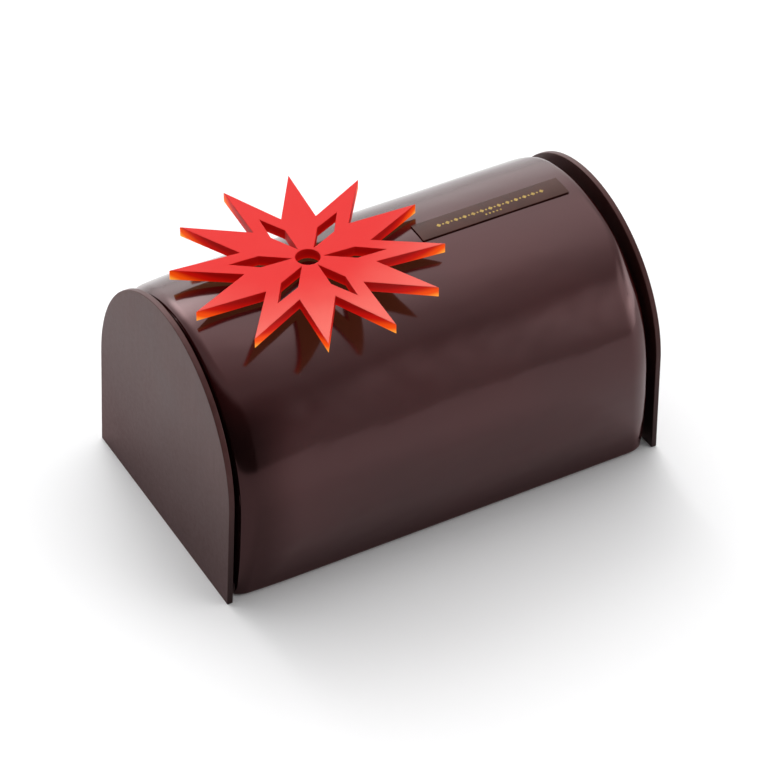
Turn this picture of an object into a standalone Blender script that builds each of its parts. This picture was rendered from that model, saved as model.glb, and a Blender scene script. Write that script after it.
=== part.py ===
"""Yule log cake: a glazed log between two thin chocolate end plates, with a pierced star and a label on top.

The log lies along X and stands on z = 0. The origin is on that surface, midway between the outer faces of
the two end plates. The log's back and front look along +Y and -Y. All lengths are in metres.
"""
import math

import bmesh
import bpy
from mathutils import Matrix, Vector

# ---------------------------------------------------------------- driving dimensions

CAKE_LENGTH = 0.1636         # outer face to outer face of the end plates, at the base
CLEARANCE = 0.0003           # between two pieces that touch

PLATE_WIDTH = 0.095
PLATE_SIDE = 0.0377          # height of the upright sides, below the half round
PLATE_THICKNESS = 0.002
PLATE_EDGE = 0.0003          # rounding of a plate's rim
LEFT_LEAN = math.radians(2.8)    # each plate leans in against the log at its top
RIGHT_LEAN = math.radians(0.6)

LOG_RADIUS = 0.051           # half round over the widest level
LOG_WIDEST = 0.0342          # height of that level
LOG_BASE = 0.0467            # half the width at the base
LOG_FOOT_ROUND = 0.0012      # rounding where a side meets the base
LEFT_GAP = 0.0021            # between the log's end face and its plate, at the base
RIGHT_GAP = 0.0032
LEFT_DRAFT = math.radians(2.6)   # each end face of the log leans in towards the top
RIGHT_DRAFT = math.radians(1.8)
RIGHT_BULGE = 0.0014         # swelling of the right end face
BULGE_HEIGHT = 0.068         # where it is fullest
BULGE_REACH = 0.032          # and how far it reaches above and below that
END_ROUND_LOW = 0.0075       # rounding between the sides and an end, at the base
END_ROUND_HIGH = 0.0120      # at the widest level and over the shoulder
LEFT_ROUND_CREST = 0.0060    # and along the crest
RIGHT_ROUND_CREST = 0.0040
CREST_HALF_ANGLE = math.radians(22.0)    # reach of the crest's rounding to either side of the top
SHOULDER_ANGLE = math.radians(52.0)      # where the shoulder's rounding is full
END_SWING = math.radians(36.0)   # turn of the end rounding, before the lip round the end face
END_LIP = 0.0008             # rounding of that lip
FALL_REACH = 0.020           # the log's skin falls slowly over this length before each end rounding
LEFT_SIDE_FALL = math.radians(3.0)       # slope of that fall where it meets the rounding
LEFT_CREST_FALL = math.radians(5.0)
RIGHT_FALL = math.radians(0.5)

STAR_CENTRE = (-0.0260, -0.0002)
STAR_TIPS = 12
STAR_RADIUS = 0.0450
STAR_NOTCH = 0.0222          # radius of the notches between the tips
STAR_THICKNESS = 0.0038
STAR_EDGE = 0.00018
STAR_TURN = math.radians(10.4)   # direction of the first tip from +X
STAR_HOLE = 0.0041
KITE_COUNT = 6
KITE_INNER = 0.0053          # radii of a kite opening's inner point, broadest part and outer point
KITE_MIDDLE = 0.0157
KITE_OUTER = 0.0255
KITE_HALF_WIDTH = 0.0029

LABEL_LENGTH = 0.0555
LABEL_WIDTH = 0.0088
LABEL_THICKNESS = 0.0007
LABEL_EDGE = 0.00012
LABEL_X = 0.0411
LABEL_ROLL = math.radians(1.9)    # turned about the log's axis, off the crest towards the front

ARC_STEPS = 60               # over a half round
SIDE_STEPS = 7               # up a side
FOOT_STEPS = 3
ROUND_STEPS = 6              # along an end's rounding
LIP_STEPS = 3
FALL_STEPS = 3               # along the slow fall before an end's rounding
LABEL_STEPS = 6              # across the label
HOLE_STEPS = 40
BEVEL_ANGLE = math.radians(25.0)     # an edge sharper than this is rounded
SHARP_ANGLE = math.radians(35.0)     # and one sharper than this is shaded as an edge

LOG_TOP = LOG_WIDEST + LOG_RADIUS


# ---------------------------------------------------------------- helpers

def clear_scene():
    """Remove whatever the start-up scene holds."""
    for item in list(bpy.data.objects):
        bpy.data.objects.remove(item, do_unlink=True)


def make_material(name, colour, roughness):
    """Return an opaque Principled material."""
    material = bpy.data.materials.new(name)
    material.use_nodes = True
    shader = material.node_tree.nodes["Principled BSDF"]
    shader.inputs["Base Color"].default_value = (*colour, 1.0)
    shader.inputs["Roughness"].default_value = roughness
    shader.inputs["Metallic"].default_value = 0.0
    return material


def add_object(name, bm, material):
    """Turn a bmesh into a linked object whose faces point out."""
    bmesh.ops.recalc_face_normals(bm, faces=bm.faces)
    if bm.calc_volume(signed=True) < 0.0:
        bmesh.ops.reverse_faces(bm, faces=bm.faces)
    mesh = bpy.data.meshes.new(name)
    bm.to_mesh(mesh)
    bm.free()
    if material:
        mesh.materials.append(material)
    item = bpy.data.objects.new(name, mesh)
    bpy.context.scene.collection.objects.link(item)
    return item


def prism(outline, low, high, bm=None):
    """Extrude a flat outline of (x, y) points from z = low to z = high."""
    bm = bm or bmesh.new()
    base = bm.faces.new([bm.verts.new((x, y, low)) for x, y in outline])
    pulled = bmesh.ops.extrude_face_region(bm, geom=[base])
    corners = [part for part in pulled["geom"] if isinstance(part, bmesh.types.BMVert)]
    bmesh.ops.translate(bm, verts=corners, vec=(0.0, 0.0, high - low))
    return bm


def polar(radius, angle):
    """Return the point at a radius and an angle about the origin."""
    return radius * math.cos(angle), radius * math.sin(angle)


def add_bevel(item, width, segments):
    """Round an object's sharp edges."""
    bevel = item.modifiers.new("edge", "BEVEL")
    bevel.width = width
    bevel.segments = segments
    bevel.limit_method = "ANGLE"
    bevel.angle_limit = BEVEL_ANGLE


def shade(item):
    """Shade the round stretches smooth and leave the real edges sharp."""
    item.data.shade_smooth()
    item.data.set_sharp_from_angle(angle=SHARP_ANGLE)


# ---------------------------------------------------------------- the log

def smooth_step(value):
    """Ease from 0 to 1."""
    value = min(max(value, 0.0), 1.0)
    return value * value * (3.0 - 2.0 * value)


class LogEnd:
    """The shape of one end of the log."""

    def __init__(self, side, gap, draft, bulge, crest_round, crest_fall, side_fall):
        """Keep the end's sizes; side is -1 for the left end and 1 for the right one."""
        self.side = side
        self.face = CAKE_LENGTH / 2 - PLATE_THICKNESS - gap
        self.draft = draft
        self.bulge = bulge
        self.crest_round = crest_round
        self.crest_fall = crest_fall
        self.side_fall = side_fall

    def face_at(self, height):
        """Return how far from the middle the end face stands at a height."""
        away = (height - BULGE_HEIGHT) / BULGE_REACH
        swell = self.bulge * max(0.0, 1.0 - away * away) ** 2
        return self.face - height * math.tan(self.draft) + swell

    def skin(self, station):
        """Return the rounding's radius and the fall's slope at a station of the section."""
        angle, height = station
        if angle is None:
            share = smooth_step(height / LOG_WIDEST)
            return END_ROUND_LOW + (END_ROUND_HIGH - END_ROUND_LOW) * share, self.side_fall
        share = smooth_step((angle - CREST_HALF_ANGLE) / (SHOULDER_ANGLE - CREST_HALF_ANGLE))
        rounding = self.crest_round + (END_ROUND_HIGH - self.crest_round) * share
        return rounding, self.crest_fall + (self.side_fall - self.crest_fall) * share


def end_profile(rounding, slope, step):
    """Return (inset from the end face, drop from the full section) along an end's rounding and its lip.

    The step is 0 where the rounding starts, 1 where the lip starts and 2 at the end face. Below 0 it runs
    back along the slow fall, to the full section at -1.
    """
    fallen = FALL_REACH * math.tan(slope) / 2
    lip_start = END_LIP * (1.0 - math.sin(END_SWING))
    if step > 1.0:
        swing = END_SWING + (math.pi / 2 - END_SWING) * (step - 1.0)
        drop = rounding * (math.cos(slope) - math.cos(END_SWING))
        lip_drop = END_LIP * (math.cos(END_SWING) - math.cos(swing))
        return END_LIP * (1.0 - math.sin(swing)), fallen + drop + lip_drop
    if step < 0.0:
        inset = rounding * (math.sin(END_SWING) - math.sin(slope)) + lip_start - step * FALL_REACH
        return inset, fallen * (1.0 + step) ** 2
    swing = slope + (END_SWING - slope) * step
    inset = rounding * (math.sin(END_SWING) - math.sin(swing)) + lip_start
    return inset, fallen + rounding * (math.cos(slope) - math.cos(swing))


def half_section():
    """Return (angle, height) stations up the front half of the log's section.

    A station on a side has angle None and its height; one on the half round has its angle from the top.
    """
    foot = [LOG_FOOT_ROUND * (1.0 - math.cos(math.pi / 2 * step / FOOT_STEPS)) for step in range(FOOT_STEPS)]
    side = [LOG_FOOT_ROUND + (LOG_WIDEST - LOG_FOOT_ROUND) * step / SIDE_STEPS for step in range(SIDE_STEPS)]
    stations = [(None, height) for height in foot + side]
    quarter = ARC_STEPS // 2
    stations += [(math.pi / 2 * (1.0 - step / quarter), None) for step in range(quarter + 1)]
    return stations


def section_point(station, end, step):
    """Return (y, z, inset from the end face) of a station; step as for end_profile."""
    angle, height = station
    inset, drop = end_profile(*end.skin(station), step)
    if angle is not None:
        radius = LOG_RADIUS - drop
        return -radius * math.sin(angle), LOG_WIDEST + radius * math.cos(angle), inset
    half = LOG_RADIUS - (LOG_RADIUS - LOG_BASE) * (1.0 - height / LOG_WIDEST) ** 2
    if height < LOG_FOOT_ROUND:
        half -= LOG_FOOT_ROUND - math.sqrt(LOG_FOOT_ROUND ** 2 - (LOG_FOOT_ROUND - height) ** 2)
    return -(half - drop), height, inset


def log_ring(end, step):
    """Return one closed ring of the log; step as for end_profile."""
    front, back = [], []
    for station in half_section():
        y, z, inset = section_point(station, end, step)
        x = end.side * (end.face_at(z) - inset)
        front.append(Vector((x, y, z)))
        back.append(Vector((x, -y, z)))
    return front + back[-2::-1]


def make_log(material):
    """Loft the solid log through its rings, from the left end face to the right one."""
    left = LogEnd(-1, LEFT_GAP, LEFT_DRAFT, 0.0, LEFT_ROUND_CREST, LEFT_CREST_FALL, LEFT_SIDE_FALL)
    right = LogEnd(1, RIGHT_GAP, RIGHT_DRAFT, RIGHT_BULGE, RIGHT_ROUND_CREST, RIGHT_FALL, RIGHT_FALL)
    steps = [2.0 - step / LIP_STEPS for step in range(LIP_STEPS)]
    steps += [1.0 - step / ROUND_STEPS for step in range(ROUND_STEPS)]
    steps += [-step / FALL_STEPS for step in range(FALL_STEPS + 1)]
    rings = [log_ring(left, step) for step in steps]
    rings += [log_ring(right, step) for step in reversed(steps)]
    bm = bmesh.new()
    loops = [[bm.verts.new(point) for point in ring] for ring in rings]
    for near, far in zip(loops, loops[1:]):
        for index in range(len(near)):
            after = (index + 1) % len(near)
            bm.faces.new((near[index], near[after], far[after], far[index]))
    bm.faces.new(loops[0])
    bm.faces.new(list(reversed(loops[-1])))
    shade(add_object("log_body", bm, material))


# ---------------------------------------------------------------- the end plates

def plate_outline():
    """Return the plate's outline: upright sides under a half round, as (y, z) points."""
    half = PLATE_WIDTH / 2
    arc = [polar(half, math.pi * step / ARC_STEPS) for step in range(ARC_STEPS + 1)]
    return [(half, 0.0)] + [(y, PLATE_SIDE + z) for y, z in arc] + [(-half, 0.0)]


def make_plate(name, side, lean, material):
    """Build an end plate that stands on its flat base edge and leans in towards the log."""
    bm = prism(plate_outline(), 0.0, PLATE_THICKNESS)
    for vert in bm.verts:
        y, z, depth = vert.co
        vert.co = (side * (CAKE_LENGTH / 2 - depth - z * math.tan(lean)), y, z)
    item = add_object(name, bm, material)
    add_bevel(item, PLATE_EDGE, 2)
    shade(item)


# ---------------------------------------------------------------- the star

def star_outline():
    """Return the star's outline, a tip and a notch in turn."""
    step = math.pi / STAR_TIPS
    return [polar(STAR_NOTCH if index % 2 else STAR_RADIUS, STAR_TURN + index * step)
            for index in range(2 * STAR_TIPS)]


def kite_outline(direction):
    """Return one kite-shaped opening, pointing along a direction."""
    turn = Matrix.Rotation(direction, 2)
    corners = [(KITE_INNER, 0.0), (KITE_MIDDLE, -KITE_HALF_WIDTH),
               (KITE_OUTER, 0.0), (KITE_MIDDLE, KITE_HALF_WIDTH)]
    return [tuple(turn @ Vector(corner)) for corner in corners]


def make_star_cutter():
    """Build the guide that cuts the round hole and the kites, through the whole thickness."""
    low, high = -STAR_THICKNESS, 2 * STAR_THICKNESS
    bm = prism([polar(STAR_HOLE, 2 * math.pi * step / HOLE_STEPS) for step in range(HOLE_STEPS)], low, high)
    first = STAR_TURN + 2 * math.pi / STAR_TIPS
    for index in range(KITE_COUNT):
        prism(kite_outline(first + index * 2 * math.pi / KITE_COUNT), low, high, bm)
    cutter = add_object("star_cutter", bm, None)
    cutter.hide_render = True
    cutter.display_type = "WIRE"
    return cutter


def make_star(material):
    """Build the pierced star, lying flat on the log's crest."""
    item = add_object("star", prism(star_outline(), 0.0, STAR_THICKNESS), material)
    cutter = make_star_cutter()
    cut = item.modifiers.new("openings", "BOOLEAN")
    cut.operation = "DIFFERENCE"
    cut.solver = "EXACT"
    cut.object = cutter
    add_bevel(item, STAR_EDGE, 1)
    for placed in (item, cutter):
        placed.location = (*STAR_CENTRE, LOG_TOP + CLEARANCE)
    shade(item)


# ---------------------------------------------------------------- the label

def label_section():
    """Return the label's section as (y, z) points: a thin strip that follows the log's curve."""
    middle, spread = math.pi / 2 - LABEL_ROLL, LABEL_WIDTH / LOG_RADIUS
    angles = [middle + spread * (step / LABEL_STEPS - 0.5) for step in range(LABEL_STEPS + 1)]
    reach = LOG_RADIUS + CLEARANCE
    inner = [polar(reach, angle) for angle in angles]
    outer = [polar(reach + LABEL_THICKNESS, angle) for angle in reversed(angles)]
    return [(-y, LOG_WIDEST + z) for y, z in inner + outer]


def make_label(material):
    """Build the thin label that lies along the log, beside the star and a little forward of the crest."""
    bm = prism(label_section(), -LABEL_LENGTH / 2, LABEL_LENGTH / 2)
    for vert in bm.verts:
        y, z, along = vert.co
        vert.co = (LABEL_X + along, y, z)
    item = add_object("label_plaque", bm, material)
    add_bevel(item, LABEL_EDGE, 1)
    shade(item)


# ---------------------------------------------------------------- the cake

def main():
    """Build every piece of the cake."""
    clear_scene()
    make_log(make_material("glaze", (0.040, 0.013, 0.010), 0.14))
    plate_chocolate = make_material("plate_chocolate", (0.075, 0.045, 0.040), 0.42)
    make_plate("end_plate_left", -1, LEFT_LEAN, plate_chocolate)
    make_plate("end_plate_right", 1, RIGHT_LEAN, plate_chocolate)
    make_star(make_material("star_red", (0.72, 0.022, 0.014), 0.45))
    make_label(make_material("label_chocolate", (0.045, 0.026, 0.018), 0.25))


main()
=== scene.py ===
"""Yule log cake: the pieces as they look, their finishes and the studio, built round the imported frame.

The cake lies along X and stands on z = 0. -Y is its front. All lengths are in metres.
"""
import logging
import math
from collections.abc import Iterable, Sequence
from dataclasses import dataclass, field
from enum import Enum

import bmesh
import bpy
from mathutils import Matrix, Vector, noise


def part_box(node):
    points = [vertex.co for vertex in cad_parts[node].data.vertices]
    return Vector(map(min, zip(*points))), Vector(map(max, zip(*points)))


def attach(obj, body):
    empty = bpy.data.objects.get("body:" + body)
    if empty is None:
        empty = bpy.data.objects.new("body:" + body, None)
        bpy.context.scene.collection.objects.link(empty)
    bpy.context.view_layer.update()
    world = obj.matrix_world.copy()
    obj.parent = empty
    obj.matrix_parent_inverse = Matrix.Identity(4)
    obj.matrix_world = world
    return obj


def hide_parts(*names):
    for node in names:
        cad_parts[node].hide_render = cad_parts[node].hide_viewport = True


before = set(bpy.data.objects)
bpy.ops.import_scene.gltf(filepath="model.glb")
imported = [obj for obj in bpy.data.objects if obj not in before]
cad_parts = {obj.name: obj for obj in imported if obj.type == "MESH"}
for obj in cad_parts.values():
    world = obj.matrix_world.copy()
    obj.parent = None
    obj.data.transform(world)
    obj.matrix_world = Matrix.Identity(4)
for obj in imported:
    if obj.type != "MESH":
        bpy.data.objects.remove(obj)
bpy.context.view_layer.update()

LOG = logging.getLogger("yule_log_cake")
BODY = "root"
CAKE_LENGTH = 0.1636         # outer face to outer face of the end plates, at the base

Number = float | int
Colour = tuple[float, float, float]


# ---------------------------------------------------------------- named choices

class End(Enum):
    """An end of the log."""

    LEFT = -1
    RIGHT = 1


class Slot(Enum):
    """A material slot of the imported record."""

    GLAZE = "glaze"
    PLATE = "plate_chocolate"
    STAR = "star_red"
    LABEL = "label_chocolate"


class PatchShape(Enum):
    """The outline of a patch of light; the value is the power of its norm."""

    ROUND = 2.0
    PANEL = 4.0


# ---------------------------------------------------------------- node writing

class Value:
    """A number socket that can be used in an arithmetic expression."""

    def __init__(self, graph: "Graph", socket: bpy.types.NodeSocket) -> None:
        """Wrap an output socket."""
        self.graph = graph
        self.socket = socket

    def _math(self, operation: str, *terms: "Value | Number") -> "Value":
        """Return the result of one Math node."""
        node = self.graph.node("ShaderNodeMath", {"operation": operation}, dict(enumerate(terms)))
        return Value(self.graph, node.outputs[0])

    def __add__(self, other: "Value | Number") -> "Value":
        """Return self + other."""
        return self._math("ADD", self, other)

    def __radd__(self, other: Number) -> "Value":
        """Return other + self."""
        return self._math("ADD", other, self)

    def __sub__(self, other: "Value | Number") -> "Value":
        """Return self - other."""
        return self._math("SUBTRACT", self, other)

    def __rsub__(self, other: Number) -> "Value":
        """Return other - self."""
        return self._math("SUBTRACT", other, self)

    def __mul__(self, other: "Value | Number") -> "Value":
        """Return self * other."""
        return self._math("MULTIPLY", self, other)

    def __rmul__(self, other: Number) -> "Value":
        """Return other * self."""
        return self._math("MULTIPLY", other, self)

    def __truediv__(self, other: "Value | Number") -> "Value":
        """Return self / other."""
        return self._math("DIVIDE", self, other)

    def __rtruediv__(self, other: Number) -> "Value":
        """Return other / self."""
        return self._math("DIVIDE", other, self)

    def __pow__(self, other: "Value | Number") -> "Value":
        """Return self ** other."""
        return self._math("POWER", self, other)

    def __rpow__(self, other: Number) -> "Value":
        """Return other ** self."""
        return self._math("POWER", other, self)

    def __neg__(self) -> "Value":
        """Return -self."""
        return self._math("MULTIPLY", self, -1.0)

    def absolute(self) -> "Value":
        """Return the value without its sign."""
        return self._math("ABSOLUTE", self)

    def at_least(self, floor: "Value | Number") -> "Value":
        """Return the larger of the value and a floor."""
        return self._math("MAXIMUM", self, floor)

    def ramp(self, low: Number, high: Number) -> "Value":
        """Ease from 0 at low to 1 at high.

        Args:
            low: where the result is 0.
            high: where the result is 1; it may be below low.

        Returns:
            The eased value.
        """
        node = self.graph.node(
            "ShaderNodeMapRange",
            {"interpolation_type": "SMOOTHSTEP"},
            {"Value": self, "From Min": low, "From Max": high, "To Min": 0.0, "To Max": 1.0},
        )
        return Value(self.graph, node.outputs["Result"])


Input = Value | bpy.types.NodeSocket | Number | Sequence[float] | bool | bpy.types.ID


class Graph:
    """A node tree that is written one node at a time."""

    def __init__(self, tree: bpy.types.NodeTree) -> None:
        """Wrap a node tree."""
        self.tree = tree

    def node(self, kind: str, settings: dict[str, object] | None = None,
             inputs: dict[str | int, Input] | None = None) -> bpy.types.Node:
        """Add a node.

        Args:
            kind: the node's type.
            settings: properties to set first.
            inputs: values or links of its sockets, by name or by index.

        Returns:
            The new node.
        """
        node = self.tree.nodes.new(kind)
        for name, value in (settings or {}).items():
            setattr(node, name, value)
        for key, value in (inputs or {}).items():
            self.feed(node.inputs[key], value)
        return node

    def feed(self, socket: bpy.types.NodeSocket, value: Input) -> None:
        """Link a socket, or set its value.

        Args:
            socket: the input socket.
            value: another node's output, or a constant.
        """
        if isinstance(value, Value):
            value = value.socket
        if isinstance(value, bpy.types.NodeSocket):
            self.tree.links.new(value, socket)
        else:
            socket.default_value = value

    def value(self, socket: bpy.types.NodeSocket) -> Value:
        """Wrap an output socket for use in expressions."""
        return Value(self, socket)


class Shader(Graph):
    """A material's or a world's nodes."""

    def position(self) -> bpy.types.NodeSocket:
        """Return the Object coordinates."""
        return self.node("ShaderNodeTexCoord").outputs["Object"]

    def split(self, vector: bpy.types.NodeSocket) -> tuple[Value, Value, Value]:
        """Return the three components of a vector."""
        outputs = self.node("ShaderNodeSeparateXYZ", None, {"Vector": vector}).outputs
        return self.value(outputs[0]), self.value(outputs[1]), self.value(outputs[2])

    def mapped(self, vector: bpy.types.NodeSocket, scale: Sequence[float]) -> bpy.types.NodeSocket:
        """Stretch a pattern's coordinates along the three axes."""
        inputs = {"Vector": vector, "Scale": tuple(scale)}
        return self.node("ShaderNodeMapping", None, inputs).outputs["Vector"]

    def noise(self, vector: bpy.types.NodeSocket, scale: float, detail: float = 2.0,
              roughness: float = 0.5) -> Value:
        """Return soft noise between 0 and 1."""
        inputs = {"Vector": vector, "Scale": scale, "Detail": detail, "Roughness": roughness}
        return self.value(self.node("ShaderNodeTexNoise", None, inputs).outputs["Fac"])

    def pits(self, vector: bpy.types.NodeSocket, scale: float, radius: float) -> Value:
        """Return small round spots, 1 at their middle and 0 outside."""
        inputs = {"Vector": vector, "Scale": scale, "Randomness": 1.0}
        cells = self.node("ShaderNodeTexVoronoi", None, inputs)
        return self.value(cells.outputs["Distance"]).ramp(radius, 0.0)

    def colour(self, factor: Value, low: Colour | bpy.types.NodeSocket,
               high: Colour | bpy.types.NodeSocket) -> bpy.types.NodeSocket:
        """Blend two colours."""
        ends = [(*end, 1.0) if isinstance(end, tuple) else end for end in (low, high)]
        inputs = {0: factor, 6: ends[0], 7: ends[1]}
        return self.node("ShaderNodeMix", {"data_type": "RGBA"}, inputs).outputs[2]

    def bump(self, height: Value, distance: float, strength: float = 1.0) -> bpy.types.NodeSocket:
        """Return a normal roughened by a height."""
        inputs = {"Height": height, "Distance": distance, "Strength": strength}
        return self.node("ShaderNodeBump", None, inputs).outputs["Normal"]


# ---------------------------------------------------------------- finishes

@dataclass(frozen=True)
class Finish:
    """A procedural finish; each kind writes its own nodes."""

    name: str

    def build(self) -> bpy.types.Material:
        """Make the material.

        Returns:
            The finished material.
        """
        material = bpy.data.materials.new(self.name)
        material.use_nodes = True
        shader = Shader(material.node_tree)
        self.write(shader, material.node_tree.nodes["Principled BSDF"])
        return material

    def write(self, shader: Shader, surface: bpy.types.Node) -> None:
        """Write the finish's nodes."""
        raise NotImplementedError


@dataclass(frozen=True)
class GlazeFinish(Finish):
    """Poured mirror glaze: deep red-brown, very smooth, with faint clouds and pinholes, and painted shade
    that darkens it and dims its reflection at the foot and at the left end below the crest.
    """

    deep: Colour = (0.022, 0.0026, 0.0028)
    warm: Colour = (0.031, 0.0040, 0.0042)
    painted_shade: Colour = (0.020, 0.0105, 0.0105)
    painted_shade_share: float = 0.62     # how far the painted shade dims the colour and the reflection
    foot_height: float = 0.020   # painted shade at the foot, up to this height
    end_start: float = -0.054    # and painted shade at the left end, below the crest
    end_full: float = -0.071
    end_height: tuple[float, float] = (0.058, 0.078)
    reflection: Colour = (1.0, 0.62, 0.63)
    cloud_scale: float = 34.0
    cloud_stretch: tuple[float, float, float] = (0.6, 1.0, 1.0)
    roughness: float = 0.10
    roughness_swing: float = 0.07
    fine_scale: float = 900.0
    fine_share: float = 0.02
    pinhole_scale: float = 150.0
    pinhole_radius: float = 0.045
    pinhole_depth: float = 0.00012
    ior: float = 1.6

    def write(self, shader: Shader, surface: bpy.types.Node) -> None:
        """Write the glaze's nodes.

        Args:
            shader: the material's graph.
            surface: its Principled node.
        """
        place = shader.position()
        clouds = shader.noise(shader.mapped(place, self.cloud_stretch), self.cloud_scale, 3.0)
        pinholes = shader.pits(place, self.pinhole_scale, self.pinhole_radius)
        fine = shader.noise(place, self.fine_scale)
        across, _, height = shader.split(place)
        # Painted shade: towards the foot and at the left end below the crest, the colour turns to the shade
        # colour and Metallic dims the reflection.
        end = across.ramp(self.end_start, self.end_full) * height.ramp(self.end_height[1], self.end_height[0])
        painted_shade_mask = end.at_least(height.ramp(self.foot_height, 0.0)) * self.painted_shade_share
        base = shader.colour(clouds.ramp(0.3, 0.7), self.deep, self.warm)
        shader.feed(surface.inputs["Base Color"], shader.colour(painted_shade_mask, base, self.painted_shade))
        shader.feed(surface.inputs["Metallic"], painted_shade_mask)
        shader.feed(surface.inputs["Roughness"], self.roughness + clouds * self.roughness_swing)
        relief = fine * self.fine_share - pinholes
        shader.feed(surface.inputs["Normal"], shader.bump(relief, self.pinhole_depth))
        surface.inputs["Specular Tint"].default_value = (*self.reflection, 1.0)
        surface.inputs["IOR"].default_value = self.ior


@dataclass(frozen=True)
class ChocolateFinish(Finish):
    """Satin tempered chocolate: fine mottling, faint bloom and streaks, with painted shade that darkens it
    and dims its reflection towards the foot.
    """

    dark: Colour = (0.036, 0.0085, 0.0075)
    light: Colour = (0.052, 0.0155, 0.0135)
    bloom: Colour = (0.090, 0.048, 0.044)
    bloom_share: float = 0.35
    low_shade: float = 0.30      # share of the colour that the painted shade leaves at the foot
    shade_height: float = 0.065
    painted_shade: Colour = (0.016, 0.0125, 0.0125)
    painted_shade_share: tuple[float, float] = (0.08, 0.50)   # how far the reflection is dimmed: a little at the crest, and by painted shade towards the foot
    reflection: Colour = (1.0, 0.64, 0.64)
    roughness: float = 0.38
    roughness_swing: float = 0.12
    cloud_scale: float = 55.0
    mottle_scale: float = 620.0
    grain_scale: float = 1500.0
    streak_scale: float = 420.0
    streak_stretch: tuple[float, float, float] = (1.0, 1.0, 0.12)
    grain_depth: float = 0.00006
    ior: float = 1.42

    def write(self, shader: Shader, surface: bpy.types.Node) -> None:
        """Write the chocolate's nodes.

        Args:
            shader: the material's graph.
            surface: its Principled node.
        """
        place = shader.position()
        clouds = shader.noise(place, self.cloud_scale, 3.0)
        grain = shader.noise(place, self.grain_scale, 3.0, 0.6)
        mottle = shader.noise(place, self.mottle_scale)
        streaks = shader.noise(shader.mapped(place, self.streak_stretch), self.streak_scale)
        base = shader.colour((clouds * 0.7 + mottle * 0.3).ramp(0.3, 0.7), self.dark, self.light)
        haze = (clouds * 0.5 + streaks * 0.5).ramp(0.45, 0.8) * self.bloom_share
        height = shader.split(place)[2]
        # Painted shade: the colour darkens towards the foot, and Metallic with a dark base dims the
        # reflection there.
        foot = height.ramp(self.shade_height, 0.0) * (1.0 - self.low_shade)
        colour = shader.colour(foot, shader.colour(haze, base, self.bloom), (0.0, 0.0, 0.0))
        least, most = self.painted_shade_share
        painted_shade = least + height.ramp(self.shade_height, 0.0) * (most - least)
        shader.feed(surface.inputs["Base Color"], shader.colour(painted_shade, colour, self.painted_shade))
        shader.feed(surface.inputs["Metallic"], painted_shade)
        roughness = self.roughness + (mottle + clouds - 1.0) * self.roughness_swing
        shader.feed(surface.inputs["Roughness"], roughness)
        shader.feed(surface.inputs["Normal"], shader.bump(grain * 0.6 + mottle * 0.4, self.grain_depth, 0.5))
        surface.inputs["Specular Tint"].default_value = (*self.reflection, 1.0)
        surface.inputs["IOR"].default_value = self.ior


@dataclass(frozen=True)
class StarFinish(Finish):
    """Satin red sugar with a painted orange glow on its flanks, strongest at the thin tips and lower edges,
    and on its underside.
    """

    red: Colour = (0.70, 0.012, 0.010)
    pale_tip_and_front_sheen: Colour = (0.79, 0.125, 0.098)
    # The underside's own brown colour, and its painted glow.
    under: Colour = (0.30, 0.13, 0.05)
    under_glow: Colour = (0.48, 0.21, 0.085)
    # The flanks' darker red under their painted glow, then the painted glow's colours from dim to bright.
    flank_red: Colour = (0.23, 0.003, 0.002)
    dark_glow: Colour = (0.17, 0.001, 0.001)
    red_glow: Colour = (0.40, 0.003, 0.001)
    orange_glow: Colour = (0.78, 0.072, 0.002)
    amber_glow: Colour = (1.0, 0.42, 0.045)
    centre: tuple[float, float] = (0.0, 0.0)
    underside: float = 0.0
    thickness: float = 0.0038
    tip_radius: float = 0.045
    notch_radius: float = 0.0222
    roughness: float = 0.48
    roughness_swing: float = 0.12
    cloud_scale: float = 60.0
    grain_scale: float = 1400.0
    grain_depth: float = 0.00004
    ior: float = 1.22

    def write(self, shader: Shader, surface: bpy.types.Node) -> None:
        """Write the sugar's nodes.

        Args:
            shader: the material's graph.
            surface: its Principled node.
        """
        place = shader.position()
        across, along, height = shader.split(place)
        reach = ((across - self.centre[0]) ** 2.0 + (along - self.centre[1]) ** 2.0) ** 0.5
        tip = ((reach - self.notch_radius) / (self.tip_radius - self.notch_radius)).at_least(0.0) ** 2.0
        drop = 1.0 - (height - self.underside) / self.thickness
        clouds = shader.noise(place, self.cloud_scale, 3.0)
        grain = shader.noise(place, self.grain_scale)
        facing = shader.split(shader.node("ShaderNodeNewGeometry").outputs["Normal"])[2]
        flank = facing.absolute().ramp(0.6, 0.25)
        # Painted glow: the flanks' emission grows towards the tips and the lower edge.
        glow = tip * 0.75 + drop * 0.45 - 0.2 + (clouds - 0.5) * 0.15
        # The top turns paler towards the tips, and a painted sheen makes it paler towards the front.
        pale = (reach / self.tip_radius + (self.centre[1] - along) / self.tip_radius) * 0.5
        pale = pale + (clouds - 0.5) * 0.3
        top = shader.colour(pale.ramp(0.2, 0.9), self.red, self.pale_tip_and_front_sheen)
        # The underside takes a brown colour of its own.
        top = shader.colour(facing.ramp(-0.6, -0.9), top, self.under)
        light = shader.colour(glow.ramp(0.0, 0.3), self.dark_glow, self.red_glow)
        light = shader.colour(glow.ramp(0.3, 0.65), light, self.orange_glow)
        light = shader.colour(glow.ramp(0.65, 1.0), light, self.amber_glow)
        shader.feed(surface.inputs["Base Color"], shader.colour(flank, top, self.flank_red))
        # Painted glow on the underside.
        glowing = shader.colour(facing.ramp(-0.6, -0.9), (0.0, 0.0, 0.0), self.under_glow)
        shader.feed(surface.inputs["Emission Color"], shader.colour(flank, glowing, light))
        shader.feed(surface.inputs["Roughness"], self.roughness + (clouds - 0.5) * self.roughness_swing)
        shader.feed(surface.inputs["Normal"], shader.bump(grain, self.grain_depth, 0.4))
        surface.inputs["Emission Strength"].default_value = 1.0
        surface.inputs["IOR"].default_value = self.ior


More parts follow.
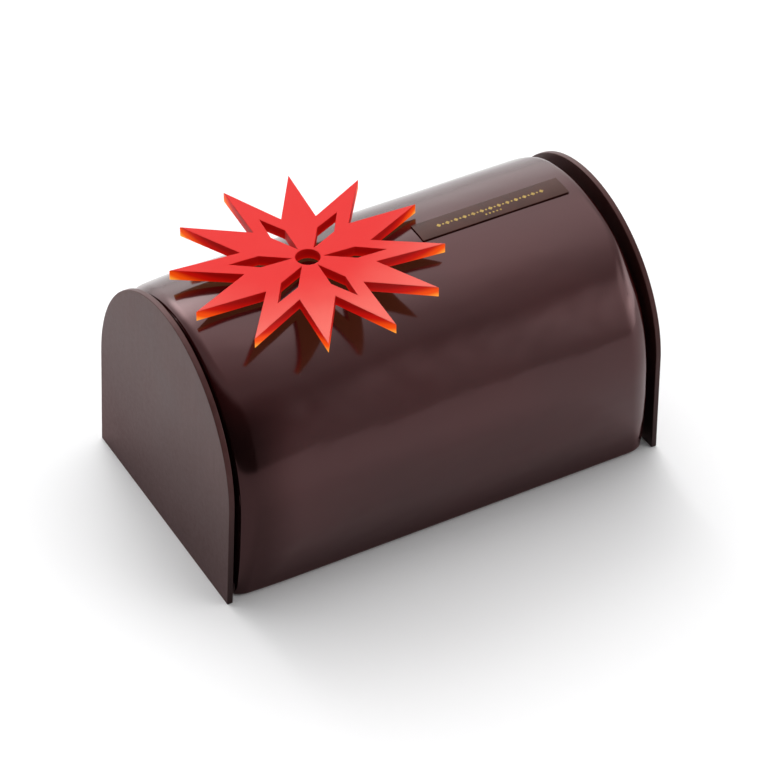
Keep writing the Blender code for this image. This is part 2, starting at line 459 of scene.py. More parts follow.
@dataclass(frozen=True)
class LabelFinish(Finish):
    """Thin satin dark chocolate."""

    dark: Colour = (0.024, 0.0062, 0.0042)
    light: Colour = (0.040, 0.0105, 0.0072)
    reflection: Colour = (1.0, 0.62, 0.54)
    roughness: float = 0.24
    roughness_swing: float = 0.1
    cloud_scale: float = 120.0
    grain_scale: float = 1600.0
    grain_depth: float = 0.00003
    ior: float = 1.36

    def write(self, shader: Shader, surface: bpy.types.Node) -> None:
        """Write the label's nodes.

        Args:
            shader: the material's graph.
            surface: its Principled node.
        """
        place = shader.position()
        clouds = shader.noise(place, self.cloud_scale, 3.0)
        grain = shader.noise(place, self.grain_scale)
        shader.feed(surface.inputs["Base Color"], shader.colour(clouds.ramp(0.3, 0.7), self.dark, self.light))
        shader.feed(surface.inputs["Roughness"], self.roughness + (clouds - 0.5) * self.roughness_swing)
        shader.feed(surface.inputs["Normal"], shader.bump(grain, self.grain_depth, 0.4))
        surface.inputs["Specular Tint"].default_value = (*self.reflection, 1.0)
        surface.inputs["IOR"].default_value = self.ior


@dataclass(frozen=True)
class GiltFinish(Finish):
    """Edible gold print."""

    gold: Colour = (0.33, 0.23, 0.060)
    worn: Colour = (0.20, 0.125, 0.036)
    roughness: float = 0.34
    roughness_swing: float = 0.15
    speckle_scale: float = 2600.0
    metallic: float = 0.8

    def write(self, shader: Shader, surface: bpy.types.Node) -> None:
        """Write the gold's nodes.

        Args:
            shader: the material's graph.
            surface: its Principled node.
        """
        speckle = shader.noise(shader.position(), self.speckle_scale)
        base = shader.colour(speckle.ramp(0.35, 0.65), self.worn, self.gold)
        shader.feed(surface.inputs["Base Color"], base)
        shader.feed(surface.inputs["Roughness"], self.roughness + speckle * self.roughness_swing)
        surface.inputs["Metallic"].default_value = self.metallic


@dataclass(frozen=True)
class FloorFinish(Finish):
    """Plain pale studio surface."""

    pale: Colour = (0.93, 0.93, 0.935)
    roughness: float = 0.5

    def write(self, shader: Shader, surface: bpy.types.Node) -> None:
        """Write the floor's values."""
        surface.inputs["Base Color"].default_value = (*self.pale, 1.0)
        surface.inputs["Roughness"].default_value = self.roughness


# ---------------------------------------------------------------- mesh helpers

def add_mesh_object(name: str, mesh: bpy.types.Mesh) -> bpy.types.Object:
    """Link a mesh to the scene as an object at the origin.

    Args:
        name: the object's name.
        mesh: its mesh, with its place in its points.

    Returns:
        The object.
    """
    mesh.name = name
    item = bpy.data.objects.new(name, mesh)
    bpy.context.scene.collection.objects.link(item)
    return item


def mesh_from(bm: bmesh.types.BMesh, name: str) -> bpy.types.Mesh:
    """Turn a bmesh into a mesh whose faces point outwards.

    Args:
        bm: the bmesh, which is freed.
        name: the mesh's name.

    Returns:
        The mesh.
    """
    bmesh.ops.recalc_face_normals(bm, faces=bm.faces)
    if bm.calc_volume(signed=True) < 0.0:
        bmesh.ops.reverse_faces(bm, faces=bm.faces)
    mesh = bpy.data.meshes.new(name)
    bm.to_mesh(mesh)
    bm.free()
    return mesh


def add_bevel(item: bpy.types.Object, width: float, segments: int) -> None:
    """Round an object's edges and keep its flat faces flat.

    Args:
        item: the object.
        width: the rounding's width.
        segments: facets across the rounding.
    """
    bevel = item.modifiers.new("edge", "BEVEL")
    bevel.width = width
    bevel.segments = segments
    bevel.limit_method = "ANGLE"
    bevel.angle_limit = math.radians(25.0)
    bevel.harden_normals = True


def baked(item: bpy.types.Object) -> bpy.types.Object:
    """Replace an object by a plain one that holds its evaluated mesh.

    Args:
        item: the object with live modifiers, which is removed.

    Returns:
        The plain object, under the same name.
    """
    name = item.name
    bpy.context.view_layer.update()
    mesh = bpy.data.meshes.new_from_object(item.evaluated_get(bpy.context.evaluated_depsgraph_get()))
    bpy.data.objects.remove(item, do_unlink=True)
    return add_mesh_object(name, mesh)


def polar(radius: float, angle: float) -> tuple[float, float]:
    """Return the point at a radius and an angle about the origin."""
    return radius * math.cos(angle), radius * math.sin(angle)


def smooth_step(value: float) -> float:
    """Ease from 0 to 1."""
    value = min(max(value, 0.0), 1.0)
    return value * value * (3.0 - 2.0 * value)


# ---------------------------------------------------------------- pieces of the cake

@dataclass
class Piece:
    """A visible piece that stands for a CAD node or lies on one."""

    name: str
    slot: Slot
    finish: Finish
    node: str | None = None
    item: bpy.types.Object | None = field(default=None, init=False)

    def build(self) -> bpy.types.Object:
        """Build the piece's mesh."""
        raise NotImplementedError

    def dress(self) -> None:
        """Give the piece its finish."""
        self.item.data.materials.clear()
        self.item.data.materials.append(self.finish.build())

    def settle(self) -> None:
        """Tie the piece to its body and hide the CAD node that it stands for."""
        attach(self.item, BODY)
        if self.node:
            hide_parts(self.node)

    def make(self) -> bpy.types.Object:
        """Build, dress and settle the piece.

        Returns:
            The finished object.
        """
        self.item = self.build()
        self.dress()
        self.settle()
        LOG.info("%s: %d faces", self.name, len(self.item.data.polygons))
        return self.item


@dataclass(frozen=True)
class EndFit:
    """How one end face of the log stands."""

    gap: float                   # to the end plate, at the base
    draft: float                 # lean inwards towards the top
    rounding: "EndRounding"
    bulge: float = 0.0           # swelling of the end face
    bulge_height: float = 0.068
    bulge_reach: float = 0.032

    def swell(self, height: float) -> float:
        """Return how far the end face swells outwards at a height."""
        away = (height - self.bulge_height) / self.bulge_reach
        return self.bulge * max(0.0, 1.0 - away * away) ** 2


@dataclass(frozen=True)
class EndRounding:
    """The fall of the log's skin towards an end, its rounding, and the small lip that closes it."""

    base: float = 0.0075
    full: float = 0.0120         # at the widest level and over the shoulder
    crest: float = 0.0040
    crest_half_angle: float = math.radians(22.0)
    shoulder_angle: float = math.radians(52.0)
    swing: float = math.radians(36.0)
    lip: float = 0.0008
    fall_reach: float = 0.020    # length of the slow fall before the rounding
    side_fall: float = math.radians(2.0)
    crest_fall: float = math.radians(0.5)

    def up_side(self, share: float) -> tuple[float, float]:
        """Return the radius and the fall's slope at a share of the way up a side."""
        return self.base + (self.full - self.base) * smooth_step(share), self.side_fall

    def over_arc(self, angle: float) -> tuple[float, float]:
        """Return the radius and the fall's slope over the half round, at an angle from the top."""
        share = smooth_step((angle - self.crest_half_angle) / (self.shoulder_angle - self.crest_half_angle))
        radius = self.crest + (self.full - self.crest) * share
        return radius, self.crest_fall + (self.side_fall - self.crest_fall) * share

    def profile(self, radius: float, slope: float, step: float) -> tuple[float, float]:
        """Return a point of the rounding.

        Args:
            radius: the rounding's radius.
            slope: the fall's slope where the rounding starts.
            step: 0 where the rounding starts, 1 where the lip starts, 2 at the end face.

        Returns:
            The inset from the end face and the drop from the full section.
        """
        fallen = self.fall_reach * math.tan(slope) / 2
        turn = self.swing
        if step > 1.0:
            swing = turn + (math.pi / 2 - turn) * (step - 1.0)
            drop = radius * (math.cos(slope) - math.cos(turn)) + self.lip * (math.cos(turn) - math.cos(swing))
            return self.lip * (1.0 - math.sin(swing)), fallen + drop
        swing = slope + (turn - slope) * step
        inset = radius * (math.sin(turn) - math.sin(swing)) + self.lip * (1.0 - math.sin(turn))
        return inset, fallen + radius * (math.cos(slope) - math.cos(swing))

    def regained(self, slope: float, away: float) -> float:
        """Return how much of the drop is regained at a distance from the rounding."""
        left = max(0.0, 1.0 - away / self.fall_reach)
        return self.fall_reach * math.tan(slope) / 2 * (1.0 - left * left)


@dataclass
class GlazedLog(Piece):
    """The log: flat base, sides that draw in towards it, half-round top and rounded ends."""

    length: float = CAKE_LENGTH
    plate: float = 0.002
    radius: float = 0.051
    widest: float = 0.0342
    base: float = 0.0467
    foot: float = 0.0012
    ends: dict[End, EndFit] = field(default_factory=lambda: {
        End.LEFT: EndFit(0.0021, math.radians(2.6), EndRounding(
            crest=0.0060, side_fall=math.radians(3.0), crest_fall=math.radians(5.0))),
        End.RIGHT: EndFit(0.0032, math.radians(1.8), EndRounding(side_fall=math.radians(0.5)), 0.0014),
    })
    arc_steps: int = 180
    side_steps: int = 44
    foot_steps: int = 6
    round_steps: int = 14
    lip_steps: int = 6
    length_steps: int = 120
    wave: float = 0.00022        # deepest hollow of the poured surface
    wave_scale: Vector = field(default_factory=lambda: Vector((34.0, 62.0, 62.0)))

    def stations(self) -> list[tuple[float | None, float]]:
        """Return (angle, height) stations up the front half of the section.

        Returns:
            Stations on the side have angle None; those on the half round have their angle from the top.
        """
        foot = [self.foot * (1.0 - math.cos(math.pi / 2 * step / self.foot_steps))
                for step in range(self.foot_steps)]
        side = [self.foot + (self.widest - self.foot) * step / self.side_steps
                for step in range(self.side_steps)]
        quarter = self.arc_steps // 2
        arc = [math.pi / 2 * (1.0 - step / quarter) for step in range(quarter + 1)]
        return [(None, height) for height in foot + side] + [(angle, 0.0) for angle in arc]

    def section_point(self, station: tuple[float | None, float], rounding: EndRounding, step: float,
                      away: float) -> tuple[float, float, float]:
        """Return (y, z, inset from the end face) of a station.

        Args:
            station: the (angle, height) station.
            rounding: the rounding of the end.
            step: place along the rounding, as for its profile.
            away: distance from the rounding along the log.

        Returns:
            The point of the section and how far it lies inside the end face.
        """
        angle, height = station
        reach, slope = rounding.up_side(height / self.widest) if angle is None else rounding.over_arc(angle)
        inset, drop = rounding.profile(reach, slope, step)
        drop -= rounding.regained(slope, away)
        if angle is not None:
            radius = self.radius - drop
            return -radius * math.sin(angle), self.widest + radius * math.cos(angle), inset
        half = self.radius - (self.radius - self.base) * (1.0 - height / self.widest) ** 2
        if height < self.foot:
            half -= self.foot - math.sqrt(self.foot ** 2 - (self.foot - height) ** 2)
        return -(half - drop), height, inset

    def ring(self, end: End, step: float, share: float) -> list[Vector]:
        """Return one closed ring of the log.

        Args:
            end: the end it belongs to.
            step: place along the rounding, as for its profile.
            share: 1 at that end's rounding, 0 at the middle of the log.

        Returns:
            The ring's points, from the front foot over the crest to the back foot.
        """
        fit = self.ends[end]
        base_end = self.length / 2 - self.plate - fit.gap
        away = (1.0 - share) * base_end
        front, back = [], []
        for station in self.stations():
            y, z, inset = self.section_point(station, fit.rounding, step, away)
            x = end.value * share * (base_end - z * math.tan(fit.draft) + fit.swell(z) - inset)
            front.append(Vector((x, y, z)))
            back.append(Vector((x, -y, z)))
        return front + back[-2::-1]

    def rings(self) -> list[list[Vector]]:
        """Return every ring, from the left end face to the right one."""
        steps = [2.0 - step / self.lip_steps for step in range(self.lip_steps)]
        steps += [1.0 - step / self.round_steps for step in range(self.round_steps + 1)]
        half = self.length_steps // 2
        rings = [self.ring(End.LEFT, step, 1.0) for step in steps]
        rings += [self.ring(End.LEFT, 0.0, 1.0 - step / half) for step in range(1, half + 1)]
        rings += [self.ring(End.RIGHT, 0.0, step / half) for step in range(1, half)]
        rings += [self.ring(End.RIGHT, step, 1.0) for step in reversed(steps)]
        return rings

    def hollow(self, point: Vector) -> float:
        """Return how far the poured surface lies under its true shape at a point."""
        lump = noise.fractal(point * self.wave_scale, 1.0, 2.0, 3)
        calm = smooth_step(point.z / 0.012)
        return self.wave * calm * min(max(0.5 + 0.5 * lump, 0.0), 1.0)

    def build(self) -> bpy.types.Object:
        """Loft the log and press the poured glaze's slow waves into it.

        Returns:
            The log's object.
        """
        bm = bmesh.new()
        loops = [[bm.verts.new(point) for point in ring] for ring in self.rings()]
        for near, far in zip(loops, loops[1:]):
            for index in range(len(near)):
                after = (index + 1) % len(near)
                bm.faces.new((near[index], near[after], far[after], far[index]))
        bm.faces.new(loops[0])
        bm.faces.new(list(reversed(loops[-1])))
        bmesh.ops.recalc_face_normals(bm, faces=bm.faces)
        bm.normal_update()
        for loop in loops[1:-1]:
            for vert in loop[1:-1]:
                vert.co -= vert.normal * self.hollow(vert.co)
        item = add_mesh_object(self.name, mesh_from(bm, self.name))
        item.data.shade_smooth()
        item.data.set_sharp_from_angle(angle=math.radians(50.0))
        return item


@dataclass
class EndPlate(Piece):
    """A thin chocolate plate with a half-round top that leans in against the log."""

    end: End = End.LEFT
    lean: float = 0.0
    width: float = 0.095
    side: float = 0.0377
    thickness: float = 0.002
    edge: float = 0.0003
    length: float = CAKE_LENGTH
    arc_steps: int = 120

    def outline(self) -> list[tuple[float, float]]:
        """Return the plate's outline as (y, z) points."""
        half = self.width / 2
        arc = [polar(half, math.pi * step / self.arc_steps) for step in range(self.arc_steps + 1)]
        return [(half, 0.0)] + [(y, self.side + z) for y, z in arc] + [(-half, 0.0)]

    def build(self) -> bpy.types.Object:
        """Extrude the outline, lean it and round its rim.

        Returns:
            The plate's object.
        """
        bm = bmesh.new()
        layers = []
        for depth in (0.0, self.thickness):
            ring = []
            for y, z in self.outline():
                x = self.end.value * (self.length / 2 - depth - z * math.tan(self.lean))
                ring.append(bm.verts.new((x, y, z)))
            layers.append(ring)
        outer, inner = layers
        bm.faces.new(outer)
        bm.faces.new(list(reversed(inner)))
        for index in range(len(outer)):
            after = (index + 1) % len(outer)
            bm.faces.new((outer[index], outer[after], inner[after], inner[index]))
        item = add_mesh_object(self.name, mesh_from(bm, self.name))
        add_bevel(item, self.edge, 4)
        item.data.shade_smooth()
        return baked(item)


class Rule(Graph):
    """A geometry node tree with named inputs."""

    def __init__(self, name: str) -> None:
        """Start an empty tree.

        Args:
            name: the tree's name.
        """
        super().__init__(bpy.data.node_groups.new(name, "GeometryNodeTree"))
        self.tree.interface.new_socket("Geometry", in_out="OUTPUT", socket_type="NodeSocketGeometry")
        self.entry = self.tree.nodes.new("NodeGroupInput")
        self.identifiers: dict[str, str] = {}
        self.values: dict[str, Input] = {}

    def size(self, name: str, value: float | int) -> Value:
        """Declare a named size.

        Args:
            name: the input's name.
            value: the size that the modifier gives it.

        Returns:
            The input, for use in expressions.
        """
        kind = "NodeSocketInt" if isinstance(value, int) else "NodeSocketFloat"
        socket = self.tree.interface.new_socket(name, in_out="INPUT", socket_type=kind)
        self.identifiers[name] = socket.identifier
        self.values[name] = value
        return self.value(self.entry.outputs[name])

    def material(self, value: bpy.types.Material) -> bpy.types.NodeSocket:
        socket = self.tree.interface.new_socket("Material", in_out="INPUT", socket_type="NodeSocketMaterial")
        self.identifiers["Material"] = socket.identifier
        self.values["Material"] = value
        return self.entry.outputs["Material"]

    def vector(self, x: Value | Number = 0.0, y: Value | Number = 0.0,
               z: Value | Number = 0.0) -> bpy.types.NodeSocket:
        """Return a vector of three values."""
        return self.node("ShaderNodeCombineXYZ", None, {"X": x, "Y": y, "Z": z}).outputs[0]

    def position(self) -> tuple[Value, Value, Value]:
        """Return the components of the Position field."""
        place = self.node("GeometryNodeInputPosition").outputs[0]
        outputs = self.node("ShaderNodeSeparateXYZ", None, {"Vector": place}).outputs
        return self.value(outputs[0]), self.value(outputs[1]), self.value(outputs[2])

    def join(self, *parts: bpy.types.NodeSocket) -> bpy.types.NodeSocket:
        """Join several geometries.

        Args:
            parts: the geometry outputs.

        Returns:
            The joined geometry.
        """
        node = self.node("GeometryNodeJoinGeometry")
        for part in reversed(parts):
            self.tree.links.new(part, node.inputs[0])
        return node.outputs[0]

    def finish(self, geometry: bpy.types.NodeSocket, material: bpy.types.NodeSocket) -> None:
        """End the tree in Realize Instances and Set Material.

        Args:
            geometry: what the tree has made.
            material: the material input.
        """
        real = self.node("GeometryNodeRealizeInstances", None, {"Geometry": geometry}).outputs[0]
        inputs = {"Geometry": real, "Material": material}
        dressed = self.node("GeometryNodeSetMaterial", None, inputs).outputs[0]
        self.node("NodeGroupOutput", None, {0: dressed})

    def apply(self, item: bpy.types.Object) -> bpy.types.Modifier:
        """Put the tree on an object, with every input set by its identifier.

        Args:
            item: the object.

        Returns:
            The modifier.
        """
        modifier = item.modifiers.new(self.tree.name, "NODES")
        modifier.node_group = self.tree
        for name, value in self.values.items():
            modifier[self.identifiers[name]] = value
        return modifier


@dataclass
class PiercedStar(Piece):
    """The flat twelve-pointed star with a round hole and a ring of kite-shaped openings."""

    centre: tuple[float, float] = (-0.0260, -0.0002)
    underside: float = 0.0855
    tips: int = 12
    tip_radius: float = 0.0450
    notch_radius: float = 0.0222
    thickness: float = 0.0038
    turn: float = math.radians(10.4)
    hole: float = 0.0041
    hole_steps: int = 64
    kites: int = 6
    kite_inner: float = 0.0053
    kite_middle: float = 0.0157
    kite_outer: float = 0.0255
    kite_half_width: float = 0.0029
    edge: float = 0.00022

    def rule(self) -> Rule:
        """Write the star's rule: outline, hole and a ring of kites, filled and given its thickness.

        Returns:
            The geometry node tree.
        """
        rule = Rule("pierced_star")
        tips = rule.size("Tips", self.tips)
        tip_radius = rule.size("Tip Radius", self.tip_radius)
        notch_radius = rule.size("Notch Radius", self.notch_radius)
        thickness = rule.size("Thickness", self.thickness)
        turn = rule.size("Turn", self.turn)
        hole = rule.size("Hole Radius", self.hole)
        hole_steps = rule.size("Hole Steps", self.hole_steps)
        kites = rule.size("Kites", self.kites)
        inner = rule.size("Kite Inner", self.kite_inner)
        middle = rule.size("Kite Middle", self.kite_middle)
        outer = rule.size("Kite Outer", self.kite_outer)
        half_width = rule.size("Kite Half Width", self.kite_half_width)
        across = rule.size("Centre X", self.centre[0])
        along = rule.size("Centre Y", self.centre[1])
        underside = rule.size("Underside", self.underside)
        material = rule.material(self.finish.build())

        outline = rule.node("GeometryNodeCurveStar", None, {
            "Points": tips, "Inner Radius": notch_radius, "Outer Radius": tip_radius}).outputs["Curve"]
        bore = rule.node("GeometryNodeCurvePrimitiveCircle", {"mode": "RADIUS"}, {
            "Resolution": hole_steps, "Radius": hole}).outputs["Curve"]
        kite = rule.node("GeometryNodeCurvePrimitiveQuadrilateral", {"mode": "KITE"}, {
            "Width": half_width * 2.0, "Bottom Height": middle - inner,
            "Top Height": outer - middle}).outputs["Curve"]
        seats = rule.node("GeometryNodeMeshCircle", None, {
            "Vertices": kites, "Radius": middle}).outputs["Mesh"]
        x, y, _ = rule.position()
        bearing = rule.value(rule.node("ShaderNodeMath", {"operation": "ARCTAN2"}, {0: y, 1: x}).outputs[0])
        openings = rule.node("GeometryNodeInstanceOnPoints", None, {
            "Points": seats, "Instance": kite,
            "Rotation": rule.vector(z=bearing - math.pi / 2)}).outputs["Instances"]
        openings = rule.node("GeometryNodeRealizeInstances", None, {"Geometry": openings}).outputs[0]
        openings = rule.node("GeometryNodeTransform", None, {
            "Geometry": openings, "Rotation": (0.0, 0.0, 2.0 * math.pi / self.tips)}).outputs[0]
        plan = rule.node("GeometryNodeFillCurve", {"mode": "NGONS"}, {
            "Curve": rule.join(outline, bore, openings)}).outputs["Mesh"]
        pulled = rule.node("GeometryNodeExtrudeMesh", {"mode": "FACES"}, {
            "Mesh": plan, "Offset": rule.vector(z=1.0), "Offset Scale": thickness,
            "Individual": False}).outputs["Mesh"]
        under = rule.node("GeometryNodeFlipFaces", None, {"Mesh": plan}).outputs["Mesh"]
        solid = rule.node("GeometryNodeMergeByDistance", None, {
            "Geometry": rule.join(pulled, under), "Distance": 0.00001}).outputs["Geometry"]
        placed = rule.node("GeometryNodeTransform", None, {
            "Geometry": solid, "Translation": rule.vector(across, along, underside),
            "Rotation": rule.vector(z=turn)}).outputs[0]
        rule.finish(placed, material)
        return rule

    def build(self) -> bpy.types.Object:
        """Run the star's rule and round its edges.

        Returns:
            The star's object.
        """
        item = add_mesh_object(self.name, bpy.data.meshes.new(self.name))
        self.rule().apply(item)
        add_bevel(item, self.edge, 3)
        return baked(item)

    def dress(self) -> None:
        """Keep the finish that the rule has set."""


@dataclass(frozen=True)
class LabelPlace:
    """Where the label lies on the log, and the log's curve under it."""

    x: float = 0.0411
    roll: float = math.radians(1.9)
    radius: float = 0.051
    level: float = 0.0342

    def wrapped(self, flat: Vector) -> Vector:
        """Lay a point of a flat drawing on the log.

        Args:
            flat: along the log, across it towards the back, and the height over the glaze.

        Returns:
            The point in the cake's frame.
        """
        angle = self.roll - flat.y / self.radius
        reach = self.radius + flat.z
        return Vector((self.x + flat.x, -reach * math.sin(angle), self.level + reach * math.cos(angle)))


@dataclass
class LabelPlaque(Piece):
    """The thin chocolate label that follows the log's curve along the crest."""

    place: LabelPlace = LabelPlace()
    length: float = 0.0555
    width: float = 0.0088
    underside: float = 0.00003   # its heights over the glaze
    upperside: float = 0.00044
    edge: float = 0.00020
    steps: int = 24
    length_steps: int = 60

    def build(self) -> bpy.types.Object:
        """Bend the thin strip over the log and round its edges.

        Returns:
            The label's object.
        """
        bm = bmesh.new()
        across = [self.width * (step / self.steps - 0.5) for step in range(self.steps + 1)]
        section = [(y, self.underside) for y in across] + [(y, self.upperside) for y in reversed(across)]
        rings = []
        for step in range(self.length_steps + 1):
            x = self.length * (step / self.length_steps - 0.5)
            rings.append([bm.verts.new(self.place.wrapped(Vector((x, y, z)))) for y, z in section])
        for near, far in zip(rings, rings[1:]):
            for index in range(len(section)):
                after = (index + 1) % len(section)
                bm.faces.new((near[index], near[after], far[after], far[index]))
        bm.faces.new(rings[0])
        bm.faces.new(list(reversed(rings[-1])))
        item = add_mesh_object(self.name, mesh_from(bm, self.name))
        add_bevel(item, self.edge, 3)
        item.data.shade_smooth()
        return baked(item)


@dataclass
class GiltOrnament(Piece):
    """A plain row of small gold lozenges and dots on the label."""

    place: LabelPlace = LabelPlace()
    lift: float = 0.00044        # height of the label's upper side
    row_length: float = 0.039
    marks: int = 25
    lozenge: float = 0.00085
    dot: float = 0.00036
    thickness: float = 0.00004
    short_marks: int = 5
    short_length: float = 0.0055
    short_drop: float = 0.0021

    def rule(self) -> Rule:
        """Write the ornament's rule: lozenges and dots in turn on a line, and a short row of dots below.

        Returns:
            The geometry node tree.
        """
        rule = Rule("gilt_ornament")
        marks = rule.size("Marks", self.marks)
        length = rule.size("Row Length", self.row_length)
        lozenge = rule.size("Lozenge", self.lozenge)
        dot = rule.size("Dot", self.dot)
        thickness = rule.size("Thickness", self.thickness)
        short_marks = rule.size("Short Marks", self.short_marks)
        short_length = rule.size("Short Length", self.short_length)
        short_drop = rule.size("Short Drop", self.short_drop)
        material = rule.material(self.finish.build())

        def row(count: Value, span: Value, drop: Value | Number) -> bpy.types.NodeSocket:
            """Return a row of evenly spaced points, centred on the label."""
            return rule.node("GeometryNodeMeshLine", {"mode": "END_POINTS", "count_mode": "TOTAL"}, {
                "Count": count, "Start Location": rule.vector(span * -0.5, drop),
                "Offset": rule.vector(span * 0.5, drop)}).outputs["Mesh"]

        def mark(sides: int, radius: Value) -> bpy.types.NodeSocket:
            """Return one flat mark with a given number of sides."""
            disc = rule.node("GeometryNodeMeshCylinder", None, {
                "Vertices": sides, "Radius": radius, "Depth": thickness}).outputs["Mesh"]
            return rule.node("GeometryNodeTransform", None, {
                "Geometry": disc, "Translation": rule.vector(z=thickness * 0.5)}).outputs[0]

        line = row(marks, length, 0.0)
        index = rule.value(rule.node("GeometryNodeInputIndex").outputs[0])
        odd = rule.value(rule.node("ShaderNodeMath", {"operation": "MODULO"}, {0: index, 1: 2.0}).outputs[0])
        big = rule.node("GeometryNodeInstanceOnPoints", None, {
            "Points": line, "Selection": 1.0 - odd, "Instance": mark(4, lozenge)}).outputs[0]
        small = rule.node("GeometryNodeInstanceOnPoints", None, {
            "Points": line, "Selection": odd, "Instance": mark(10, dot)}).outputs[0]
        short = rule.node("GeometryNodeInstanceOnPoints", None, {
            "Points": row(short_marks, short_length, short_drop * -1.0),
            "Instance": mark(10, dot)}).outputs[0]
        rule.finish(rule.join(big, small, short), material)
        return rule

    def build(self) -> bpy.types.Object:
        """Run the ornament's rule and lay the result on the label.

        Returns:
            The ornament's object.
        """
        item = add_mesh_object(self.name, bpy.data.meshes.new(self.name))
        self.rule().apply(item)
        item = baked(item)
        for vert in item.data.vertices:
            vert.co = self.place.wrapped(vert.co + Vector((0.0, 0.0, self.lift)))
        return item

    def dress(self) -> None:
        """Keep the finish that the rule has set."""


# ---------------------------------------------------------------- the studio

@dataclass(frozen=True)
class LightPatch:
    """A soft-edged patch of light, or of shade, on the studio's walls."""

    azimuth: float               # degrees from +Y towards +X
    elevation: float             # degrees over the horizon
    half_width: float            # degrees
    half_height: float
    strength: float              # light added, or the share of light taken away
    soft: float = 0.5            # share of its size over which it fades
    shape: PatchShape = PatchShape.PANEL

    def axes(self) -> tuple[Vector, Vector, Vector]:
        """Return the patch's direction and its sideways and upward axes."""
        turn, rise = math.radians(self.azimuth), math.radians(self.elevation)
        forward = Vector((math.sin(turn) * math.cos(rise), math.cos(turn) * math.cos(rise), math.sin(rise)))
        side = Vector((math.cos(turn), -math.sin(turn), 0.0))
        return forward, side, side.cross(forward)

    def mask(self, shader: Shader, direction: bpy.types.NodeSocket) -> Value:
        """Return 1 inside the patch and 0 outside it.

        Args:
            shader: the world's graph.
            direction: the direction looked along.

        Returns:
            The patch's mask.
        """
        forward, side, rise = (
            shader.value(shader.node("ShaderNodeVectorMath", {"operation": "DOT_PRODUCT"}, {
                0: direction, 1: tuple(axis)}).outputs["Value"]) for axis in self.axes())
        across = side.absolute() / math.sin(math.radians(self.half_width))
        upward = rise.absolute() / math.sin(math.radians(self.half_height))
        power = self.shape.value
        distance = (across ** power + upward ** power) ** (1.0 / power)
        return distance.ramp(1.0, 1.0 - self.soft) * forward.ramp(-0.05, 0.1)


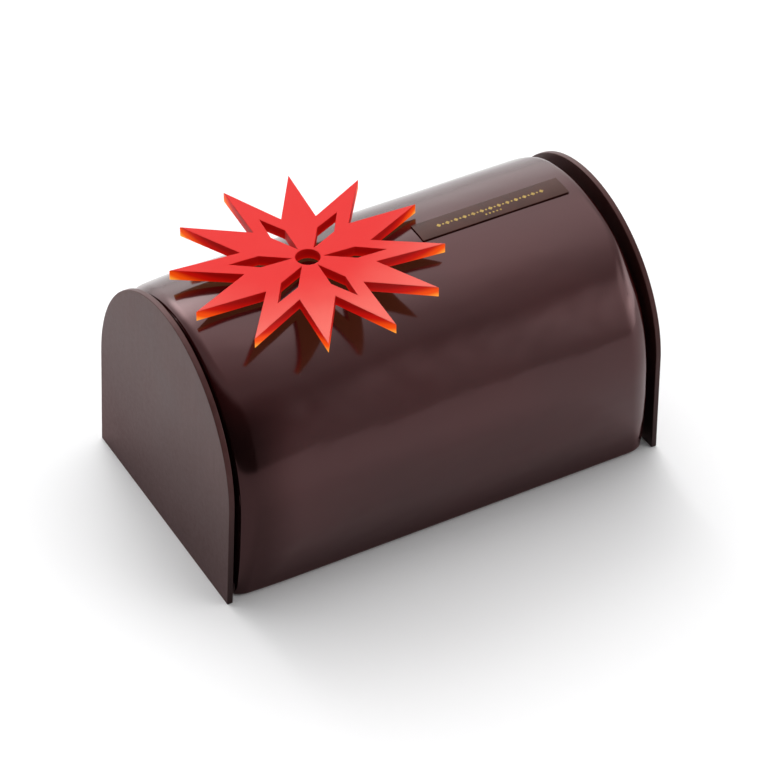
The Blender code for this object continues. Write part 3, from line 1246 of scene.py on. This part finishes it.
@dataclass
class Studio:
    """The floor, the soft surrounding light and the camera."""

    floor_reach: float = 6.0
    base_light: float = 0.66
    lights: tuple[LightPatch, ...] = (
        LightPatch(5.0, 22.0, 85.0, 34.0, 1.45, 0.8),
        LightPatch(50.0, 63.0, 55.0, 34.0, 1.45, 0.8),
        LightPatch(136.0, 22.0, 23.0, 21.0, 1.35, 0.7),
        LightPatch(116.0, 7.0, 36.0, 15.0, 3.1, 0.85),
        LightPatch(2.0, 42.0, 27.0, 22.0, 4.6, 0.9, PatchShape.ROUND),
        LightPatch(-44.0, 22.0, 18.0, 13.0, 2.6, 0.8, PatchShape.ROUND),
    )
    shades: tuple[LightPatch, ...] = (
        LightPatch(216.0, 12.0, 60.0, 50.0, 0.96, 0.25),
    )
    azimuth: float = -28.827
    elevation: float = 39.697
    distance: float = 1.1896
    aim: tuple[float, float] = (0.00182, 0.01966)
    focal_length: float = 163.55
    sensor: float = 36.0

    def floor(self) -> None:
        """Lay the floor just under the cake."""
        bm = bmesh.new()
        bmesh.ops.create_circle(bm, cap_ends=True, radius=self.floor_reach, segments=96)
        mesh = bpy.data.meshes.new("studio_floor")
        bm.to_mesh(mesh)
        bm.free()
        floor = add_mesh_object("studio_floor", mesh)
        mesh.materials.append(FloorFinish("studio_floor").build())

    def surroundings(self) -> None:
        """Light the studio from all round with soft patches."""
        world = bpy.data.worlds.new("studio")
        world.use_nodes = True
        bpy.context.scene.world = world
        shader = Shader(world.node_tree)
        direction = shader.node("ShaderNodeTexCoord").outputs["Generated"]
        light: Value | float = self.base_light
        for patch in self.lights:
            light = patch.mask(shader, direction) * patch.strength + light
        for patch in self.shades:
            light = light * (1.0 - patch.mask(shader, direction) * patch.strength)
        shader.feed(world.node_tree.nodes["Background"].inputs["Color"], light)

    def camera(self) -> None:
        """Place the camera."""
        turn, rise = math.radians(self.azimuth), math.radians(self.elevation)
        back = Vector((math.sin(turn) * math.cos(rise), -math.cos(turn) * math.cos(rise), math.sin(rise)))
        right = Vector((math.cos(turn), math.sin(turn), 0.0))
        up = back.cross(right)
        data = bpy.data.cameras.new("camera")
        data.lens = self.focal_length
        data.sensor_width = self.sensor
        camera = bpy.data.objects.new("camera", data)
        bpy.context.scene.collection.objects.link(camera)
        camera.location = back * self.distance + right * self.aim[0] + up * self.aim[1]
        camera.rotation_mode = "QUATERNION"
        camera.rotation_quaternion = (-back).to_track_quat("-Z", "Y")
        bpy.context.scene.camera = camera

    def build(self) -> None:
        """Set up the whole studio."""
        self.floor()
        self.surroundings()
        self.camera()
        bpy.context.scene.view_settings.view_transform = "Standard"
        LOG.info("studio ready")


# ---------------------------------------------------------------- the cake

def pieces() -> Iterable[Piece]:
    """Return every piece of the cake, in building order."""
    star_low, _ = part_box("star")
    chocolate = ChocolateFinish("plate_chocolate")
    star = PiercedStar("pierced_star", Slot.STAR, StarFinish("star_red"), "star", underside=star_low.z)
    star.finish = StarFinish("star_red", centre=star.centre, underside=star.underside,
                             thickness=star.thickness, tip_radius=star.tip_radius,
                             notch_radius=star.notch_radius)
    return (
        GlazedLog("glazed_log", Slot.GLAZE, GlazeFinish("mirror_glaze"), "log_body"),
        EndPlate("left_plate", Slot.PLATE, chocolate, "end_plate_left", end=End.LEFT, lean=math.radians(2.8)),
        EndPlate("right_plate", Slot.PLATE, chocolate, "end_plate_right",
                 end=End.RIGHT, lean=math.radians(0.6)),
        star,
        LabelPlaque("label", Slot.LABEL, LabelFinish("label_chocolate"), "label_plaque"),
        GiltOrnament("gilt_ornament", Slot.LABEL, GiltFinish("gilt")),
    )


def main() -> None:
    """Build the cake and its studio."""
    logging.basicConfig(level=logging.INFO, format="%(name)s: %(message)s")
    for piece in pieces():
        piece.make()
    Studio().build()


if __name__ == "__main__":
    main()
